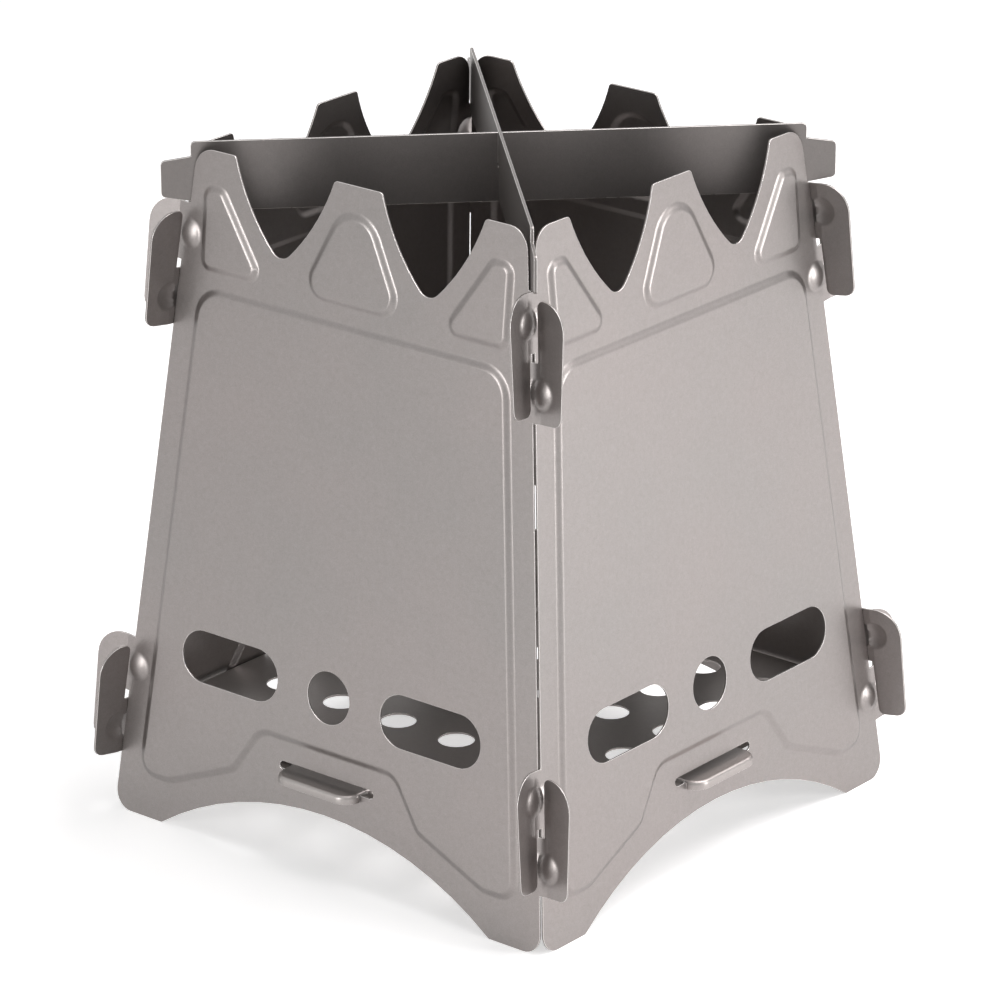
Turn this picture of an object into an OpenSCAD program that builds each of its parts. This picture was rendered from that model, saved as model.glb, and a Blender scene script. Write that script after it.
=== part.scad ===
// Flat-packing twig stove: four pressed side panels that hook into each other,
// a perforated base plate held in slots, and two crossed pot supports on top.
// Millimetres, +Z up, origin on the ground under the centre of the firebox.
// A panel is drawn flat: x runs to the right seen from outside, y up the slope, z outwards.

/* [Body] */
// Distance between opposite panels at the ground
base_w = 144; // [134:1:156]
// Length of a panel up its slope
panel_h = 180; // [174:1:190]
// Inward lean of each panel, in degrees
lean = 5.61; // [4.6:0.1:6.6]
// Thickness of the sheet of panels and base plate
sheet = 0.5; // [0.4:0.05:0.6]
// Gap between a panel's edge and the sheet of its neighbour
seam_gap = 0.1; // [0.08:0.02:0.2]
// Radius of the outer corners of the feet
foot_r = 5; // [3:0.5:6]
// Radius of small cut corners
cut_r = 1.2; // [0.6:0.1:1.5]

/* [Arch] */
// Width of the arch between the feet
arch_w = 110; // [96:1:114]
// Height of the arch
arch_h = 17.1; // [12:0.1:18.5]

/* [Teeth] */
// Distance from the panel's middle to the middle of a notch
notch_x = 23.9; // [22.5:0.1:26]
// Width of a notch at the tooth tops
notch_w = 32.6; // [28:0.1:33.6]
// Depth of a notch below the tooth tops
notch_depth = 22.9; // [19:0.1:24]
// Radius of a tooth's curved side
tooth_side_r = 55; // [45:1:90]
// Radius at the bottom of a notch
notch_r = 4; // [3:0.1:4.5]
// Radius of the outer corner of the panel's top
top_r = 6; // [4:0.5:7]

/* [Openings] */
// Distance from the panel's middle to the middle of a long opening
vent_x = 33.2; // [31:0.1:35]
// Height of the openings' middle line up the slope
vent_y = 48.6; // [46:0.1:56]
// Length of a long opening
vent_l = 32.4; // [26:0.1:33]
// Width of a long opening
vent_w = 13.9; // [10:0.1:14.5]
// Diameter of the round opening
vent_d = 13.8; // [10:0.1:16]

/* [Pressing] */
// Height that the fields are pressed outwards
press_h = 0.9; // [0.6:0.1:1.2]
// Width of the sloping wall of a field
press_w = 2; // [1.6:0.1:2.4]
// Flat border between a panel's edge and a field
border = 6.7; // [6:0.1:8]
// Drop of the top of the big field below the tooth tops
field_drop = 34.8; // [34.2:0.1:38]
// Height of the lower corners of the big field
field_low = 11.2; // [10:0.1:13]
// Height of the field's lower edge over the base plate's slot
field_step = 33.1; // [32:0.1:36]
// Width of the part of the field's lower edge over that slot
step_w = 43.4; // [40:0.2:46]
// Width of the slope beside it
step_run = 8.4; // [7:0.1:12]
// Flat border over the arch where that slope ends
arch_border = 3.4; // [3:0.1:6]
// Distance of the field's lowest point inwards from the foot
foot_in = 2.9; // [2:0.1:5]
// Radius at both ends of that slope
step_r = 5; // [3:0.1:6]
// Radius of the big field's upper corners
field_r = 8.5; // [7:0.1:9]
// Radius of its lower corners
field_low_r = 5.5; // [4:0.1:6]
// Drop of the tooth fields' lower edge below the tooth tops
tooth_foot_drop = 31.1; // [30:0.1:32]
// Drop of the outer tooth fields' upper edge below the tooth tops
tooth_head_drop = 8.7; // [8:0.1:11]
// Distance from the corner to the outer tooth fields
tooth_border = 5.1; // [4.6:0.1:6]
// Distance of the foot of an outer tooth field from the middle of the notch
outer_foot = 3.5; // [3:0.1:5]
// Width of the upper edge of an outer tooth field
outer_head_w = 7.2; // [6.6:0.1:8]
// Distance of the foot of the middle tooth field from the middle of the notch
middle_foot = 6; // [5:0.1:7]
// Height over the tooth tops where the sides of the middle tooth field would meet
middle_peak = 4.2; // [2:0.1:8]
// Radius of the middle tooth field's round top
middle_r = 8.8; // [7:0.1:9]
// Radius of its lower corners
middle_low_r = 5.5; // [4:0.1:6]
// Radius of the other corners of the tooth fields
tooth_field_r = 3.5; // [3:0.1:3.6]

/* [Hooks] */
// Height of a hook along the corner
hook_h = 30.2; // [28:0.1:32]
// Reach of a hook's top past the corner
hook_w = 10.7; // [10.4:0.1:12]
// Narrowing of a hook towards its foot
hook_taper = 1.7; // [0.5:0.1:2]
// Height of the lower left hook's foot up the slope
hook_low = 17.6; // [15:0.1:20]
// Drop of the hooks on the right below those on the left
hook_step = 2; // [1:0.1:3]
// Drop of the upper hooks' top, which carries the crossbars, below the tooth tops
saddle_drop = 14.6; // [13:0.1:18]
// Outward bend of a hook's flap, in degrees
flap_bend = 10; // [4:1:14]
// Radius of a flap's upper outer corner
flap_r = 7.2; // [5:0.1:7.3]
// Radius of its lower outer corner
flap_low_r = 2.7; // [1:0.1:3]
// Radius of its corner at the mouth of the slot
flap_mouth_r = 1.7; // [1:0.1:1.7]
// Flat stretch of a hook between its slot and its bend
flap_root = 0.6; // [0.5:0.1:1]
// Inner radius of the bend
bend_r = 0.8; // [0.4:0.1:1.5]
// Room in a hook's slot outside the neighbour's sheet
slot_room = 1.3; // [1.25:0.05:1.4]
// Extra depth of a hook's slot past the middle
slot_over = 0.1; // [0.1:0.1:1.4]
// Radius at both ends of the bead that stiffens a hook across its bend
bead_r = 4.3; // [3.6:0.1:4.6]
// Height of that bead
bead_h = 1.15; // [0.8:0.05:1.2]
// Distance of the bead's inner sphere from the corner
bead_in = 2.2; // [1.8:0.1:3]
// Distance of its outer sphere from the start of the bend
bead_out = 0.4; // [0.2:0.1:1.2]

/* [Base plate] */
// Height of the plate's upper face above the ground
plate_z = 26; // [25.5:0.1:27]
// Depth of the plate's turned-down rim
rim_h = 2.3; // [1.8:0.1:2.6]
// Outer radius of the rim's bend
rim_r = 1; // [0.8:0.05:1.2]
// Gap between the plate and a panel when the plate is centred
plate_gap = 1.9; // [1.8:0.1:2.6]
// How far the loose plate has slid to the left
slide_x = 1.5; // [0:0.1:1.5]
// How far the loose plate has slid to the back
slide_y = 1.2; // [0:0.1:1.5]
// Radius of the plate's corners
plate_r = 9; // [5:0.5:12]
// Diameter of an air hole
air_d = 9.5; // [7:0.1:11]
// Spacing of the air holes
air_pitch = 19.6; // [18:0.1:21]
// Number of air holes along one side
air_n = 6; // [2:2:6]
// Width of a tab
tab_w = 25.8; // [22:0.1:27]
// Reach of a tab past the panel when the plate is centred
tab_out = 5.9; // [5:0.1:7]
// Radius of a tab's corners
tab_r = 4.5; // [3:0.1:4.5]
// Length of the slot for a tab
tab_slot_l = 31.2; // [30:0.1:33]
// Height of the slot for a tab
tab_slot_h = 2.3; // [2.1:0.1:2.6]

/* [Crossbars] */
// Thickness of a crossbar
bar_t = 0.8; // [0.6:0.1:1.2]
// Height of a crossbar
bar_h = 18.1; // [16:0.1:20]
// Part of a crossbar below the hooks that carry it
bar_drop = 2.5; // [1.5:0.1:4]
// Reach of a crossbar's tab past the corner
bar_out = 6.3; // [4:0.1:8]
// Reach of its full height past the corner
shoulder_out = 0.9; // [0.6:0.1:1.5]
// Gap between the foot of a crossbar and the corner
foot_gap = 0.7; // [0.5:0.1:2]
// Drop of the tab's top below the bar's top
tab_drop = 3.9; // [2:0.1:5]
// Further drop of the tab's top to its end
tab_slope = 1.1; // [0.2:0.1:1.5]
// Rise of the tab's underside to its end
tab_rise = 1.3; // [0.5:0.1:2]
// Gap on each side of a bar between the panels
bar_gap = 0.2; // [0.15:0.01:0.4]
// Room in a half-lap slot around the other bar
lap_gap = 0.15; // [0.1:0.01:0.3]

/* [Hidden] */
$fn = 64;
titanium = [0.60, 0.57, 0.55];
bright_titanium = [0.66, 0.63, 0.61];
bar_titanium = [0.50, 0.47, 0.45];
// Gap of a crossbar's tab over the hook that carries it
seat_gap = 0.05;
// Gap of the base plate over the lower edge of its slots
rest_gap = 0.05;
// Gap around a panel's sheet in the cut through the base plate's rim
relief_gap = 0.3;
// Radius of the edges where a bar or a slot is only just rounded
soft_r = 0.4;
// Overlap of cutting solids past what they cut
past = 1;
half_w = base_w / 2;
// Run of the corner towards the middle for each millimetre up the slope
corner_run = sin(lean);
// Angle of the corner line in a flat panel
corner_tilt = atan(corner_run);
// Distance of a panel's edge from the corner line
edge_cut = sheet / cos(lean) + seam_gap;
// The same above the upper hooks, where the crossbars pass
bar_cut = sheet / cos(lean) + (bar_t / 2 + bar_gap) * sqrt(2);
// Heights up the slope that follow the tooth tops
field_top = panel_h - field_drop;
tooth_low = panel_h - tooth_foot_drop;
tooth_high = panel_h - tooth_head_drop;
saddle_y = panel_h - saddle_drop;
// Flat stretch of a hook past the corner before its bend
flap_start = slot_room + flap_root;
// Foot of a panel's inner face stays on the ground
lift = sheet * sin(lean);
saddle_z = lift + saddle_y * cos(lean);
bar_low = saddle_z - bar_drop;
bar_high = bar_low + bar_h;
bar_middle = bar_low + bar_h / 2;
// Radius of a bead's spheres, from its width and its height
bead_sphere = (bead_r * bead_r + bead_h * bead_h) / (2 * bead_h);
// Depth to which a bead's rim reaches into the sheet
bead_root = sheet / 5;
plate_half = half_w - plate_z * tan(lean) - sheet / cos(lean) - plate_gap;
tab_end = half_w - plate_z * tan(lean) + tab_out;
tab_slot_y = (plate_z - sheet - rest_gap - lift) / cos(lean) + tab_slot_h / 2;

// Distance of the corner line from the middle at a height up the slope
function corner_at(y) = half_w - corner_run * y;
// Distance of the corner line from the middle at a height above the ground
function corner_above(z) = half_w - z * tan(lean);
function unit(v) = v / norm(v);
// Angle between -180 and 180 degrees
function wrap(a) = a > 180 ? a - 360 : a < -180 ? a + 360 : a;
// Points on a circle's arc
function arc(centre, r, a0, a1, n) =
    [for (i = [0:n]) centre + r * [cos(a0 + (a1 - a0) * i / n), sin(a0 + (a1 - a0) * i / n)]];
// Corner b between a and c, turned into an arc of radius r
function corner(a, b, c, r) =
    let (p = unit(a - b), q = unit(c - b), half = acos(max(-1, min(1, p * q))) / 2)
    r <= 0 || half > 89 ? [b] :
    let (centre = b + unit(p + q) * r / sin(half),
         first = b + p * r / tan(half) - centre,
         last = b + q * r / tan(half) - centre,
         a0 = atan2(first[1], first[0]),
         turn = wrap(atan2(last[1], last[0]) - a0),
         n = max(2, ceil(abs(turn) / (r > 3 ? 13 : 23))))
    arc(centre, r, a0, a0 + turn, n);
// Outline whose points are [x, y, corner radius]
function rounded(points) =
    let (n = len(points), flat = [for (p = points) [p[0], p[1]]])
    [for (i = [0:n - 1])
        each corner(flat[(i + n - 1) % n], flat[i], flat[(i + 1) % n], points[i][2])];
// Anticlockwise outline moved inwards by d
function inset(outline, d) =
    let (n = len(outline))
    [for (i = [0:n - 1])
        let (a = unit(outline[i] - outline[(i + n - 1) % n]),
             b = unit(outline[(i + 1) % n] - outline[i]),
             na = [-a[1], a[0]],
             nb = [-b[1], b[0]])
        outline[i] + d * (na + nb) / (1 + na * nb)];
function mirrored(points) =
    [for (i = [len(points) - 1:-1:0]) [-points[i][0], points[i][1], points[i][2]]];

// Closed rim that follows an outline, with a section of [inset, height] points
module rim(outline, section) {
    n = len(outline);
    k = len(section);
    loops = [for (s = section) [for (p = inset(outline, s[0])) [p[0], p[1], s[1]]]];
    polyhedron(
        points = [for (loop = loops) each loop],
        faces = [for (j = [0:k - 1], i = [0:n - 1])
            [j * n + i, ((j + 1) % k) * n + i, ((j + 1) % k) * n + (i + 1) % n, j * n + (i + 1) % n]],
        convexity = 6);
}

// Pressed field: sloping wall and raised sheet, with room for openings in the raised sheet
module field(outline) {
    wall = [[0, 0], [0.28, 0.1], [0.72, 0.9], [1, 1]];
    upper = [for (w = wall) [w[0] * press_w, w[1] * press_h]];
    lower = [for (i = [len(upper) - 1:-1:0]) [upper[i][0], upper[i][1] - sheet]];
    rim(outline, concat(upper, lower));
    translate([0, 0, press_h - sheet]) linear_extrude(sheet) difference() {
        polygon(inset(outline, press_w));
        children();
    }
}

// Big field: its lower edge steps up over the slot and follows the arch towards the feet
function big_field() =
    let (low_x = corner_at(field_low) - edge_cut - border,
         high_x = corner_at(field_top) - edge_cut - border,
         right = [
             [step_w / 2, field_step, step_r],
             [step_w / 2 + step_run, arch_h + arch_border, step_r],
             [arch_w / 2 - foot_in, field_low, field_r],
             [low_x, field_low, field_low_r],
             [high_x, field_top, field_r]])
    rounded(concat(right, mirrored(right)));

// Field of the outer tooth on the right, its inner side along the notch
function outer_tooth_field() =
    let (side_x = corner_at(tooth_high) - tooth_border)
    rounded([
        [notch_x + outer_foot, tooth_low, tooth_field_r],
        [side_x, tooth_low, tooth_field_r],
        [side_x, tooth_high, tooth_field_r],
        [side_x - outer_head_w, tooth_high, tooth_field_r]]);

function middle_tooth_field() =
    let (foot_x = notch_x - middle_foot)
    rounded([
        [-foot_x, tooth_low, middle_low_r],
        [foot_x, tooth_low, middle_low_r],
        [0, panel_h + middle_peak, middle_r]]);

// Sides and round bottom of the notch on the right, from right to left
function notch() =
    let (half = notch_w / 2,
         deep = notch_depth - notch_r,
         reach = tooth_side_r - notch_r,
         // Height of the side arcs' centres over the tooth tops, from the notch's width and depth
         rise = rise_of(half, deep, reach, tooth_side_r),
         away = sqrt(tooth_side_r * tooth_side_r - rise * rise) - half,
         top_a = acos((away + half) / tooth_side_r),
         low_a = atan2(rise + deep, away),
         n = 9,
         m = 6)
    concat(
        [for (i = [0:n]) let (a = top_a + (low_a - top_a) * i / n)
            [notch_x - away + tooth_side_r * cos(a),
             panel_h + rise - tooth_side_r * sin(a),
             i == 0 ? cut_r : 0]],
        [for (i = [1:m - 1]) let (a = -low_a - (180 - 2 * low_a) * i / m)
            [notch_x + notch_r * cos(a), panel_h - deep + notch_r * sin(a), 0]],
        [for (i = [n:-1:0]) let (a = top_a + (low_a - top_a) * i / n)
            [notch_x + away - tooth_side_r * cos(a),
             panel_h + rise - tooth_side_r * sin(a),
             i == 0 ? cut_r : 0]]);

// Rise of the side arcs' centres: the arc passes the notch's corner and touches its round bottom
function rise_of(half, deep, reach, r, low = 0, high = 30, step = 24) =
    let (middle = (low + high) / 2,
         away = sqrt(r * r - middle * middle) - half,
         miss = norm([away, middle + deep]) - reach)
    step == 0 ? middle :
    miss > 0 ? rise_of(half, deep, reach, r, low, middle, step - 1) :
    rise_of(half, deep, reach, r, middle, high, step - 1);

// Outline of a panel without its hooks, anticlockwise from the right foot
function panel_outline() =
    let (arch_r = (arch_w * arch_w / 4 + arch_h * arch_h) / (2 * arch_h),
         spread = asin(arch_w / 2 / arch_r),
         n = 16,
         arch = [for (i = [0:n]) let (a = 90 + spread - 2 * spread * i / n)
             [arch_r * cos(a), arch_h - arch_r + arch_r * sin(a), i == 0 || i == n ? cut_r / 2 : 0]],
         right = concat(
             [[half_w - edge_cut, 0, foot_r],
              [corner_at(saddle_y) - edge_cut, saddle_y, soft_r],
              [corner_at(saddle_y) - bar_cut, saddle_y, 0],
              [corner_at(panel_h) - bar_cut, panel_h, top_r]],
             notch()))
    rounded(concat(right, mirrored(right), arch));

// Outline of a hook with its slot open upwards or downwards, its foot on the corner line
function hook_outline(open_up) =
    let (root = -edge_cut - past,
         length = hook_h / 2 + slot_over,
         floor_y = open_up ? hook_h - length : length,
         flap = [[hook_w - hook_taper, 0, flap_low_r], [hook_w, hook_h, flap_r]],
         mouth = [slot_room, open_up ? hook_h : 0, flap_mouth_r],
         slot_end = [slot_room, floor_y, soft_r],
         slot_start = [root, floor_y, 0])
    rounded(open_up
        ? concat([[root, 0, 0]], flap, [mouth, slot_end, slot_start])
        : concat([slot_start, slot_end, mouth], flap, [[root, hook_h, 0]]));

// Section across a hook: its flat root, the bend and the flap, run on past the flap's edge
function hook_section() =
    let (run = hook_w * [cos(flap_bend), sin(flap_bend)],
         axis = [flap_start, bend_r],
         under = arc(axis, bend_r + sheet, -90, flap_bend - 90, 3),
         over = arc(axis, bend_r, flap_bend - 90, -90, 3))
    concat([[-edge_cut - past, 0], [-edge_cut - past, -sheet]], under, [under[3] + run, over[0] + run], over);

module hook(open_up) {
    intersection() {
        translate([0, 0, -hook_w / 2]) linear_extrude(hook_w) polygon(hook_outline(open_up));
        translate([0, hook_h + past, 0]) rotate([90, 0, 0]) linear_extrude(hook_h + 2 * past)
            polygon(hook_section());
    }
}

// Middle of a hook's bead along the corner
function bead_at(open_up) = open_up ? hook_h / 4 : hook_h * 3 / 4;

// Puts its children over a hook's root and over its flap, at both ends of the bead
module at_bead_ends() {
    translate([-bead_in, 0, 0]) children();
    translate([flap_start, 0, bend_r]) rotate([0, -flap_bend, 0])
        translate([bead_out, 0, -bend_r]) children();
}

module bead_end() {
    intersection() {
        translate([0, 0, bead_h - bead_sphere]) sphere(bead_sphere, $fn = 48);
        translate([-bead_sphere, -bead_sphere, -bead_root]) cube(2 * bead_sphere);
    }
}

module bead_hollow() {
    translate([0, 0, bead_h - bead_sphere]) sphere(bead_sphere - sheet, $fn = 48);
}

// Puts its children at each hook of a flat panel; on the right the slots open upwards
module at_hooks(side) {
    step = side > 0 ? hook_step : 0;
    for (foot = [hook_low - step, saddle_y - hook_h - step])
        mirror([side > 0 ? 0 : 1, 0, 0])
            translate([corner_at(foot), foot, 0]) rotate([0, 0, corner_tilt]) children();
}

// Slot for the base plate's tab
module tab_slot() {
    polygon(rounded([
        for (p = [[-1, -1], [1, -1], [1, 1], [-1, 1]])
            [p[0] * tab_slot_l / 2, tab_slot_y + p[1] * tab_slot_h / 2, tab_slot_h * 0.49]]));
}

module vents() {
    for (side = [-1, 1])
        translate([side * vent_x, vent_y])
            polygon(rounded([
                for (p = [[-1, -1], [1, -1], [1, 1], [-1, 1]])
                    [p[0] * vent_l / 2, p[1] * vent_w / 2, vent_w * 0.499]]));
    translate([0, vent_y]) circle(d = vent_d);
}

// Sheet of a panel in the plane of its border
module border_sheet() {
    difference() {
        polygon(panel_outline());
        polygon(big_field());
        polygon(outer_tooth_field());
        mirror([1, 0]) polygon(outer_tooth_field());
        polygon(middle_tooth_field());
        tab_slot();
    }
}

module flat_panel() {
    difference() {
        union() {
            translate([0, 0, -sheet]) linear_extrude(sheet) border_sheet();
            field(big_field()) vents();
            field(outer_tooth_field());
            mirror([1, 0, 0]) field(outer_tooth_field());
            field(middle_tooth_field());
            for (side = [-1, 1]) {
                at_hooks(side) hook(side > 0);
                at_hooks(side) translate([0, bead_at(side > 0), 0]) at_bead_ends() bead_end();
            }
        }
        for (side = [-1, 1])
            at_hooks(side) translate([0, bead_at(side > 0), 0]) at_bead_ends() bead_hollow();
    }
}

// Panel stood up on its side of the stove, turned by quarter turns from the front
module panel(quarter) {
    rotate([0, 0, 90 * quarter]) translate([0, -half_w, lift]) rotate([90 - lean, 0, 0]) flat_panel();
}

module front_panel() {
    color(titanium) panel(0);
}

module right_panel() {
    color(bright_titanium) panel(1);
}

module back_panel() {
    color(titanium) panel(2);
}

module left_panel() {
    color(bright_titanium) panel(3);
}

// Outline of the base plate, anticlockwise
function plate_outline() =
    let (quarter = [
             [tab_w / 2, -plate_half, cut_r],
             [plate_half, -plate_half, plate_r],
             [plate_half, -tab_w / 2, cut_r],
             [tab_end, -tab_w / 2, tab_r],
             [tab_end, tab_w / 2, tab_r]],
         turns = [for (q = [0:3]) [for (p = quarter)
             [p[0] * cos(90 * q) - p[1] * sin(90 * q), p[0] * sin(90 * q) + p[1] * cos(90 * q), p[2]]]])
    rounded([for (t = turns) each t]);

// Cut through the rim beside each tab, where a panel's sheet passes
module rim_relief() {
    outer = corner_above(plate_z - rim_h) + relief_gap;
    inner = corner_above(plate_z) - sheet / cos(lean) - relief_gap;
    width = tab_slot_l + 2 * past;
    for (quarter = [0:3])
        rotate([0, 0, 90 * quarter]) translate([-width / 2, -outer, plate_z - sheet - rim_h])
            cube([width, outer - inner, rim_h]);
}

module base_plate() {
    under = rim_r - sheet;
    bend = [for (a = [180, 135, 90]) [rim_r + rim_r * cos(a), -rim_r + rim_r * sin(a)]];
    hollow = [for (a = [90, 135, 180]) [rim_r + under * cos(a), -rim_r + under * sin(a)]];
    color(bright_titanium) difference() {
        translate([-slide_x, slide_y, plate_z]) difference() {
            union() {
                rim(plate_outline(), concat([[0, -rim_h]], bend, hollow, [[sheet, -rim_h]]));
                translate([0, 0, -sheet]) linear_extrude(sheet) polygon(inset(plate_outline(), rim_r));
            }
            for (x = [0:air_n - 1], y = [0:air_n - 1])
                translate([0, 0, -sheet - past])
                    translate(air_pitch * [x - (air_n - 1) / 2, y - (air_n - 1) / 2])
                        cylinder(d = air_d, h = sheet + 2 * past);
        }
        rim_relief();
    }
}

// Half of a crossbar's outline seen from its side, from the middle outwards and back
function bar_side() =
    let (inner_end = (corner_above(saddle_z) - sheet / cos(lean)) * sqrt(2) - bar_t / 2 - foot_gap,
         shoulder = corner_above(bar_high) * sqrt(2) + shoulder_out,
         tip = corner_above(saddle_z) * sqrt(2) + bar_out)
    [[inner_end, bar_low, cut_r],
     [inner_end, saddle_z + seat_gap, soft_r],
     [shoulder, saddle_z + seat_gap, 0],
     [tip, saddle_z + seat_gap + tab_rise, cut_r],
     [tip, bar_high - tab_drop - tab_slope, cut_r],
     [shoulder, bar_high - tab_drop, soft_r],
     [shoulder, bar_high, cut_r]];

// Crossbar with its half-lap slot in the upper or the lower half
module crossbar(turn, slot_up) {
    slot_foot = slot_up ? bar_middle - lap_gap : bar_low - past;
    slot_top = slot_up ? bar_high + past : bar_middle + lap_gap;
    rotate([0, 0, turn]) translate([0, bar_t / 2, 0]) rotate([90, 0, 0])
        linear_extrude(bar_t) difference() {
            polygon(rounded(concat(bar_side(), mirrored(bar_side()))));
            translate([-bar_t / 2 - lap_gap, slot_foot]) square([bar_t + 2 * lap_gap, slot_top - slot_foot]);
        }
}

module lower_crossbar() {
    color(bar_titanium) crossbar(45, true);
}

module upper_crossbar() {
    color(bar_titanium) crossbar(-45, false);
}

front_panel();
right_panel();
back_panel();
left_panel();
base_plate();
lower_crossbar();
upper_crossbar();
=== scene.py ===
import math

import bmesh
import bpy
from mathutils import Matrix, Vector


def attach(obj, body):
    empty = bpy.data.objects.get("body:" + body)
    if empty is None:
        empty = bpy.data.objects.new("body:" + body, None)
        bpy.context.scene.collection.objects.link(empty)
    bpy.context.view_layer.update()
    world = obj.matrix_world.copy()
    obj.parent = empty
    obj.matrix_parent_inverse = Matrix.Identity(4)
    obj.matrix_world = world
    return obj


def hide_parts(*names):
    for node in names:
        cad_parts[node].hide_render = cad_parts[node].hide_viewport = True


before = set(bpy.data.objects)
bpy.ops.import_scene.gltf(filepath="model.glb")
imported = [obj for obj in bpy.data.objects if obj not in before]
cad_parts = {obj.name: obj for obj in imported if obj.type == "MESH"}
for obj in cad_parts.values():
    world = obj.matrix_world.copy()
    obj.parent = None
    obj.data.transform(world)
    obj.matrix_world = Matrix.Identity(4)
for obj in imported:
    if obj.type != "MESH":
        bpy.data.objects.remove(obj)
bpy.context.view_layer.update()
scene = bpy.context.scene
scene.view_settings.view_transform = "Standard"
mm = 0.001


def deselectAll():
    if bpy.context.object and bpy.context.object.mode != "OBJECT":
        bpy.ops.object.mode_set(mode="OBJECT")
    bpy.ops.object.select_all(action="DESELECT")


def makeActive(piece):
    deselectAll()
    piece.select_set(True)
    bpy.context.view_layer.objects.active = piece


# Camera: a long lens, seen from the front right and a little from above
cameraView = {
    "azimuth": 39.42,
    "elevation": 20.985,
    "roll": -0.104,
    "distance": 1.3785,
    "aside": -0.0002,       # slides the view along the picture's right
    "raised": 0.0760,       # and along its up
    "lens": 188.64,
    "sensor": 36,
    "nearest": 0.05,
    "farthest": 20,
}


def addCamera(view):
    turn, tilt = math.radians(view["azimuth"]), math.radians(view["elevation"])
    back = Vector((math.sin(turn) * math.cos(tilt), -math.cos(turn) * math.cos(tilt), math.sin(tilt)))
    right = Vector((math.cos(turn), math.sin(turn), 0))
    up = back.cross(right)
    bpy.ops.object.camera_add()
    camera = bpy.context.object
    camera.name = "camera"
    camera.data.lens = view["lens"]
    camera.data.sensor_width = view["sensor"]
    camera.data.clip_start, camera.data.clip_end = view["nearest"], view["farthest"]
    place = right * view["aside"] + up * view["raised"] + back * view["distance"]
    facing = Matrix((right, up, back)).transposed().to_4x4()
    roll = Matrix.Rotation(math.radians(view["roll"]), 4, "Z")
    camera.matrix_world = Matrix.Translation(place) @ facing @ roll
    scene.camera = camera


print("camera")
addCamera(cameraView)


# Studio: white floor and background. The key lamp stands high beside the right panel, so that this
# panel mirrors the brighter floor; the two strips draw lines on the pressings
studio = {
    "floorSize": 6,
    "floorTone": 0.90,
    "floorRoughness": 0.9,
    "floorGlow": 0.54,       # seen by the camera and in reflections, so that the floor ends in white
    "skyLight": 0.07,        # the world's light on the object
    "lamps": [
        {"name": "keyLamp", "place": (0.36, 0.43, 0.95), "aim": (0.28, 0.34, 0),
         "width": 0.95, "height": 0.95, "power": 12.5, "tint": (1, 0.965, 0.965)},
        {"name": "topLamp", "place": (0.05, -0.15, 1.9), "aim": (0, 0, 0),
         "width": 1.3, "height": 1.3, "power": 5.5, "tint": (1, 1, 1)},
        {"name": "rightStrip", "place": (1.13, 0.41, 0.28), "aim": (0, 0, 0.09),
         "width": 0.2, "height": 0.56, "power": 6, "tint": (1, 1, 1)},
        {"name": "leftStrip", "place": (-0.25, -1.25, 0.32), "aim": (0, 0, 0.09),
         "width": 0.18, "height": 0.64, "power": 5.4, "tint": (1, 1, 1)},
    ],
}


def addLamp(look):
    bpy.ops.object.light_add(type="AREA", location=look["place"])
    lamp = bpy.context.object
    lamp.name = look["name"]
    lamp.data.shape = "RECTANGLE"
    lamp.data.size, lamp.data.size_y = look["width"], look["height"]
    lamp.data.energy = look["power"]
    lamp.data.color = look["tint"]
    beam = Vector(look["aim"]) - Vector(look["place"])
    lamp.rotation_euler = beam.to_track_quat("-Z", "Y").to_euler()


def addRayMask(nodes, links):
    # 1 where the camera, a reflection or glass looks, 0 where light is gathered
    rays = nodes.new("ShaderNodeLightPath")
    first = nodes.new("ShaderNodeMath")
    first.operation = "MAXIMUM"
    second = nodes.new("ShaderNodeMath")
    second.operation = "MAXIMUM"
    links.new(rays.outputs["Is Camera Ray"], first.inputs[0])
    links.new(rays.outputs["Is Glossy Ray"], first.inputs[1])
    links.new(first.outputs[0], second.inputs[0])
    links.new(rays.outputs["Is Transmission Ray"], second.inputs[1])
    return second.outputs[0]


def addStudio(look):
    bpy.ops.mesh.primitive_plane_add(size=look["floorSize"], location=(0, 0, 0))
    floor = bpy.context.object
    floor.name = "floor"
    paint = bpy.data.materials.new("floorPaint")
    paint.use_nodes = True
    nodes, links = paint.node_tree.nodes, paint.node_tree.links
    shader = nodes["Principled BSDF"]
    shader.inputs["Base Color"].default_value = (look["floorTone"],) * 3 + (1,)
    shader.inputs["Roughness"].default_value = look["floorRoughness"]
    shader.inputs["Specular IOR Level"].default_value = 0
    shader.inputs["Emission Color"].default_value = (1, 1, 1, 1)
    glow = nodes.new("ShaderNodeMath")
    glow.operation = "MULTIPLY"
    glow.inputs[1].default_value = look["floorGlow"]
    links.new(addRayMask(nodes, links), glow.inputs[0])
    links.new(glow.outputs[0], shader.inputs["Emission Strength"])
    floor.data.materials.append(paint)

    world = bpy.data.worlds.new("studioWorld")
    scene.world = world
    world.use_nodes = True
    nodes, links = world.node_tree.nodes, world.node_tree.links
    sky = nodes["Background"]
    sky.inputs["Color"].default_value = (1, 1, 1, 1)
    level = nodes.new("ShaderNodeMapRange")
    level.inputs["To Min"].default_value = look["skyLight"]
    level.inputs["To Max"].default_value = 1
    links.new(addRayMask(nodes, links), level.inputs["Value"])
    links.new(level.outputs["Result"], sky.inputs["Strength"])
    for lamp in look["lamps"]:
        addLamp(lamp)


print("studio")
addStudio(studio)


# Finishes. Two groups are shared: the blasted grain, and the soft patches of tone
def newGroup(name, ins, outs):
    group = bpy.data.node_groups.new(name, "ShaderNodeTree")
    for socket, value in ins.items():
        made = group.interface.new_socket(name=socket, in_out="INPUT", socket_type="NodeSocketFloat")
        made.default_value = value
    for socket, kind in outs.items():
        group.interface.new_socket(name=socket, in_out="OUTPUT", socket_type=kind)
    return group, group.nodes.new("NodeGroupInput"), group.nodes.new("NodeGroupOutput")


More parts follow.
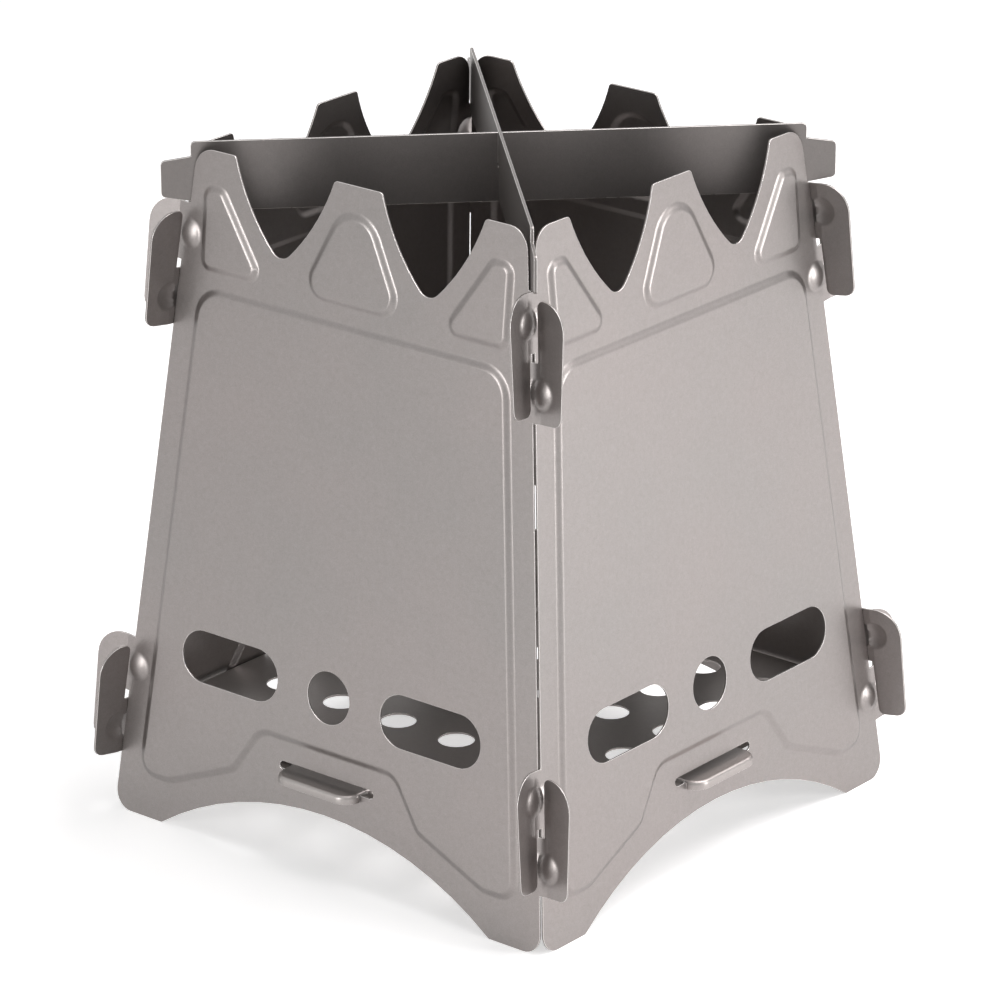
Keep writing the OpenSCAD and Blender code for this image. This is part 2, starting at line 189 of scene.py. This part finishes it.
def addNode(tree, kind, **values):
    node = tree.nodes.new(kind)
    for key, value in values.items():
        setattr(node, key, value)
    return node


def makeGrainGroup():
    # Shallow pits of a blasted sheet: a fine grain with a slightly coarser one in it
    group, given, made = newGroup(
        "blastedGrain", {"Pits per metre": 3600, "Coarse pits": 0.22, "Coarse share": 0.35},
        {"Height": "NodeSocketFloat"})
    coords = addNode(group, "ShaderNodeTexCoord")
    fine = addNode(group, "ShaderNodeTexNoise")
    fine.inputs["Detail"].default_value = 2
    coarse = addNode(group, "ShaderNodeTexNoise")
    coarse.inputs["Detail"].default_value = 3
    fewer = addNode(group, "ShaderNodeMath", operation="MULTIPLY")
    mix = addNode(group, "ShaderNodeMix")
    links = group.links
    links.new(coords.outputs["Object"], fine.inputs["Vector"])
    links.new(coords.outputs["Object"], coarse.inputs["Vector"])
    links.new(given.outputs["Pits per metre"], fine.inputs["Scale"])
    links.new(given.outputs["Pits per metre"], fewer.inputs[0])
    links.new(given.outputs["Coarse pits"], fewer.inputs[1])
    links.new(fewer.outputs[0], coarse.inputs["Scale"])
    links.new(given.outputs["Coarse share"], mix.inputs["Factor"])
    links.new(fine.outputs["Fac"], mix.inputs[2])
    links.new(coarse.outputs["Fac"], mix.inputs[3])
    links.new(mix.outputs[0], made.inputs["Height"])
    return group


def makePatchGroup():
    # Broad uneven patches left by blasting and handling, 0 to 1
    group, given, made = newGroup(
        "tonePatches", {"Patches per metre": 16, "Sharpness": 1.6}, {"Patch": "NodeSocketFloat"})
    coords = addNode(group, "ShaderNodeTexCoord")
    cloud = addNode(group, "ShaderNodeTexNoise")
    cloud.inputs["Detail"].default_value = 3
    cloud.inputs["Roughness"].default_value = 0.55
    centred = addNode(group, "ShaderNodeMath", operation="SUBTRACT")
    centred.inputs[1].default_value = 0.5
    spread = addNode(group, "ShaderNodeMath", operation="MULTIPLY")
    back = addNode(group, "ShaderNodeMath", operation="ADD", use_clamp=True)
    back.inputs[1].default_value = 0.5
    links = group.links
    links.new(coords.outputs["Object"], cloud.inputs["Vector"])
    links.new(given.outputs["Patches per metre"], cloud.inputs["Scale"])
    links.new(cloud.outputs["Fac"], centred.inputs[0])
    links.new(centred.outputs[0], spread.inputs[0])
    links.new(given.outputs["Sharpness"], spread.inputs[1])
    links.new(spread.outputs[0], back.inputs[0])
    links.new(back.outputs[0], made.inputs["Patch"])
    return group


grainGroup = makeGrainGroup()
patchGroup = makePatchGroup()

blastedSheet = {
    "name": "blastedTitanium",
    "tone": (0.263, 0.249, 0.241),
    "patchTone": (0.281, 0.253, 0.245),      # the sheet is a little pinker here and there
    "grainTone": 0.10,                       # how far the grain lightens and darkens the tone
    "roughness": (0.31, 0.39),
    "metallic": 0.92,
    "pits": 3600,
    "pitDepth": 0.02 * mm,
    "patches": 16,
}
plateSheet = {
    "name": "satinTitanium",
    "tone": (0.32, 0.303, 0.292),
    "patchTone": (0.34, 0.308, 0.297),
    "grainTone": 0.07,
    "roughness": (0.33, 0.42),
    "metallic": 0.95,
    "pits": 2800,
    "pitDepth": 0.012 * mm,
    "patches": 22,
}
barSheet = {
    "name": "darkTitanium",
    "tone": (0.195, 0.183, 0.176),
    "patchTone": (0.205, 0.187, 0.18),
    "grainTone": 0.08,
    "roughness": (0.36, 0.46),
    "metallic": 0.95,
    "pits": 3200,
    "pitDepth": 0.015 * mm,
    "patches": 20,
}
# Bare cut metal on the edge bevels, its tone raised far above the sheet's as a painted highlight
cutEdgeAndHighlight = {
    "name": "cutTitaniumAndPaintedHighlight",
    "tone": (0.64, 0.62, 0.60),
    "patchTone": (0.72, 0.69, 0.67),
    "grainTone": 0.12,
    "roughness": (0.22, 0.34),
    "metallic": 0.97,
    "pits": 5000,
    "pitDepth": 0.006 * mm,
    "patches": 180,
}


grainSpread = (0.3, 0.7)     # the noise of the grain hardly leaves this range


def makeSheetMetal(look):
    material = bpy.data.materials.new(look["name"])
    material.use_nodes = True
    tree = material.node_tree
    links = tree.links
    shader = tree.nodes["Principled BSDF"]
    shader.inputs["Metallic"].default_value = look["metallic"]
    grain = addNode(tree, "ShaderNodeGroup", node_tree=grainGroup)
    grain.inputs["Pits per metre"].default_value = look["pits"]
    patches = addNode(tree, "ShaderNodeGroup", node_tree=patchGroup)
    patches.inputs["Patches per metre"].default_value = look["patches"]

    tint = addNode(tree, "ShaderNodeMix", data_type="RGBA")
    tint.inputs[6].default_value = look["tone"] + (1,)
    tint.inputs[7].default_value = look["patchTone"] + (1,)
    links.new(patches.outputs["Patch"], tint.inputs["Factor"])
    shade = addNode(tree, "ShaderNodeMapRange")
    shade.inputs["From Min"].default_value, shade.inputs["From Max"].default_value = grainSpread
    shade.inputs["To Min"].default_value = 1 - look["grainTone"]
    shade.inputs["To Max"].default_value = 1 + look["grainTone"]
    links.new(grain.outputs["Height"], shade.inputs["Value"])
    colour = addNode(tree, "ShaderNodeVectorMath", operation="SCALE")
    links.new(tint.outputs[2], colour.inputs[0])
    links.new(shade.outputs["Result"], colour.inputs["Scale"])
    links.new(colour.outputs[0], shader.inputs["Base Color"])

    rough = addNode(tree, "ShaderNodeMapRange")
    rough.inputs["To Min"].default_value, rough.inputs["To Max"].default_value = look["roughness"]
    links.new(patches.outputs["Patch"], rough.inputs["Value"])
    links.new(rough.outputs["Result"], shader.inputs["Roughness"])

    bump = addNode(tree, "ShaderNodeBump")
    bump.inputs["Strength"].default_value = 1
    bump.inputs["Distance"].default_value = look["pitDepth"]
    links.new(grain.outputs["Height"], bump.inputs["Height"])
    links.new(bump.outputs["Normal"], shader.inputs["Normal"])
    return material


print("finishes")
panelMetal = makeSheetMetal(blastedSheet)
plateMetal = makeSheetMetal(plateSheet)
barMetal = makeSheetMetal(barSheet)
edgeMetalAndHighlight = makeSheetMetal(cutEdgeAndHighlight)


# Pieces: each is a merged copy of its solid, with its cut edges broken and its pressings rounded
merging = {
    "sameVertex": 0.002 * mm,
    "flatWithin": 0.6,       # degrees, and so are all angles below
}


def copyOfNode(node, name):
    deselectAll()
    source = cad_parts[node]
    piece = source.copy()
    piece.data = source.data.copy()
    piece.name = piece.data.name = name
    piece.parent = None
    piece.matrix_world = Matrix.Identity(4)
    for key in list(piece.keys()):
        del piece[key]
    scene.collection.objects.link(piece)
    makeActive(piece)
    bpy.ops.object.mode_set(mode="EDIT")
    bpy.ops.mesh.select_mode(type="EDGE")
    bpy.ops.mesh.select_all(action="SELECT")
    bpy.ops.mesh.remove_doubles(threshold=merging["sameVertex"])
    bpy.ops.mesh.dissolve_limited(angle_limit=math.radians(merging["flatWithin"]))
    bpy.ops.mesh.select_all(action="DESELECT")
    bpy.ops.object.mode_set(mode="OBJECT")
    return piece


def breakEdges(piece, look):
    # The sheared edges get a small bevel in the bright cut metal: bare metal plus a painted highlight
    # along every edge
    makeActive(piece)
    bpy.ops.object.mode_set(mode="EDIT")
    mesh = bmesh.from_edit_mesh(piece.data)
    for edge in mesh.edges:
        sharp = edge.is_manifold and edge.calc_face_angle() > math.radians(look["sharpFrom"])
        edge.select_set(sharp)
    mesh.select_flush_mode()
    bmesh.update_edit_mesh(piece.data)
    bpy.ops.mesh.bevel(offset=look["edgeBreak"], segments=look["edgeSteps"], affect="EDGES",
                       clamp_overlap=True, material=1)
    bpy.ops.object.mode_set(mode="OBJECT")


def smoothSheet(piece, look):
    makeActive(piece)
    bpy.ops.object.shade_smooth_by_angle(angle=math.radians(look["smoothTo"]))
    weighted = piece.modifiers.new("evenNormals", "WEIGHTED_NORMAL")
    weighted.keep_sharp = True
    bpy.ops.object.modifier_apply(modifier=weighted.name)


def finishPiece(piece, metal, look):
    piece.data.materials.clear()
    piece.data.materials.append(metal)
    piece.data.materials.append(edgeMetalAndHighlight)
    breakEdges(piece, look)
    smoothSheet(piece, look)


panels = {
    "nodes": {"front_panel": "frontPanel", "right_panel": "rightPanel",
              "back_panel": "backPanel", "left_panel": "leftPanel"},
    "halfWidth": 72 * mm,    # from the stove's middle to the foot of the sheet
    "lean": 5.61,
    "sheet": 0.5 * mm,
    "pressHeight": 0.9 * mm,
    "pressWidth": 2 * mm,
    "wallFrom": 0.28,        # the steep part of a pressed wall in the solid, as shares of its width
    "wallTo": 0.72,
    "wallLow": 0.1,          # and of its height
    "wallHigh": 0.9,
    "roundMore": 0.2 * mm,   # the rounded section runs out this far into the flat sheet on both sides
    "roundSteps": 8,
    "nearEnough": 0.004 * mm,
    "edgeBreak": 0.07 * mm,
    "edgeSteps": 2,
    "sharpFrom": 55,
    "smoothTo": 42,
}


def roundPressings(panel, look, quarter):
    # Pressed walls have three flats in the solid; here they get a softly rounded section.
    # Each vertex of a wall keeps where the wall starts on the sheet and which way it runs
    lean = math.radians(look["lean"])
    stand = (Matrix.Rotation(math.radians(90 * quarter), 4, "Z")
             @ Matrix.Translation((0, -look["halfWidth"], look["sheet"] * math.sin(lean)))
             @ Matrix.Rotation(math.radians(90) - lean, 4, "X"))
    lay = stand.inverted()
    steepShare = look["wallTo"] - look["wallFrom"]
    steep = steepShare * look["pressWidth"]
    makeActive(panel)
    bpy.ops.object.mode_set(mode="EDIT")
    mesh = bmesh.from_edit_mesh(panel.data)
    start = mesh.verts.layers.float_vector.new("wallStart")
    inward = mesh.verts.layers.float_vector.new("wallInward")

    def near(height, share, level):
        return abs(height - share * look["pressHeight"] - level) < look["nearEnough"]

    walls = set()
    for edge in mesh.edges:
        low, high = sorted(edge.verts, key=lambda vert: (lay @ vert.co).z)
        lowFlat, highFlat = lay @ low.co, lay @ high.co
        for level in (0, -look["sheet"]):
            if near(lowFlat.z, look["wallLow"], level) and near(highFlat.z, look["wallHigh"], level):
                run = (highFlat - lowFlat) / steep
                run.z = 0
                begin = lowFlat - run * look["wallFrom"] * look["pressWidth"]
                begin.z = level
                ends = {low, high}
                for vert, share in ((low, 0), (high, 1)):
                    for side in vert.link_edges:
                        other = side.other_vert(vert)
                        if near((lay @ other.co).z, share, level):
                            ends.add(other)
                for vert in ends:
                    vert[start], vert[inward] = begin, run
                walls.add(edge)
    for edge in mesh.edges:
        edge.select_set(edge in walls)
    bmesh.update_edit_mesh(panel.data)
    bpy.ops.mesh.subdivide(number_cuts=look["roundSteps"] - 3)

    mesh = bmesh.from_edit_mesh(panel.data)
    start = mesh.verts.layers.float_vector["wallStart"]
    inward = mesh.verts.layers.float_vector["wallInward"]
    width = look["pressWidth"] + 2 * look["roundMore"]
    for vert in mesh.verts:
        run = vert[inward]
        if run.length == 0:      # not on a wall
            continue
        flat = lay @ vert.co
        along = (flat - vert[start]).dot(run) / run.length_squared / look["pressWidth"]
        step = 1 + (along - look["wallFrom"]) / steepShare * (look["roundSteps"] - 2)
        share = min(1, max(0, round(step) / look["roundSteps"]))
        place = vert[start] + run * (share * width - look["roundMore"])
        place.z = vert[start].z + look["pressHeight"] * (1 - math.cos(math.pi * share)) / 2
        vert.co = stand @ place
    mesh.verts.layers.float_vector.remove(start)
    mesh.verts.layers.float_vector.remove(mesh.verts.layers.float_vector["wallInward"])
    bmesh.update_edit_mesh(panel.data)
    bpy.ops.object.mode_set(mode="OBJECT")
    print("rounded walls", len(walls))


def makePanels(look):
    for quarter, (node, name) in enumerate(look["nodes"].items()):
        panel = copyOfNode(node, name)
        roundPressings(panel, look, quarter)
        finishPiece(panel, panelMetal, look)
        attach(panel, "stove")
        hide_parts(node)
        print("panel", name, len(panel.data.polygons))


makePanels(panels)

basePlate = {
    "node": "base_plate",
    "name": "grate",
    "edgeBreak": 0.07 * mm,
    "edgeSteps": 2,
    "sharpFrom": 55,
    "smoothTo": 50,
}


def makeGrate(look):
    grate = copyOfNode(look["node"], look["name"])
    finishPiece(grate, plateMetal, look)
    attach(grate, "stove")
    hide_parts(look["node"])
    print("grate", len(grate.data.polygons))


makeGrate(basePlate)

crossbars = {
    "nodes": {"lower_crossbar": ("lowerBar", "lower_bar"), "upper_crossbar": ("upperBar", "upper_bar")},
    "edgeBreak": 0.1 * mm,
    "edgeSteps": 2,
    "sharpFrom": 50,
    "smoothTo": 35,
}


def makeCrossbars(look):
    for node, (name, body) in look["nodes"].items():
        bar = copyOfNode(node, name)
        finishPiece(bar, barMetal, look)
        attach(bar, body)
        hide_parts(node)
        print("crossbar", name, len(bar.data.polygons))


makeCrossbars(crossbars)
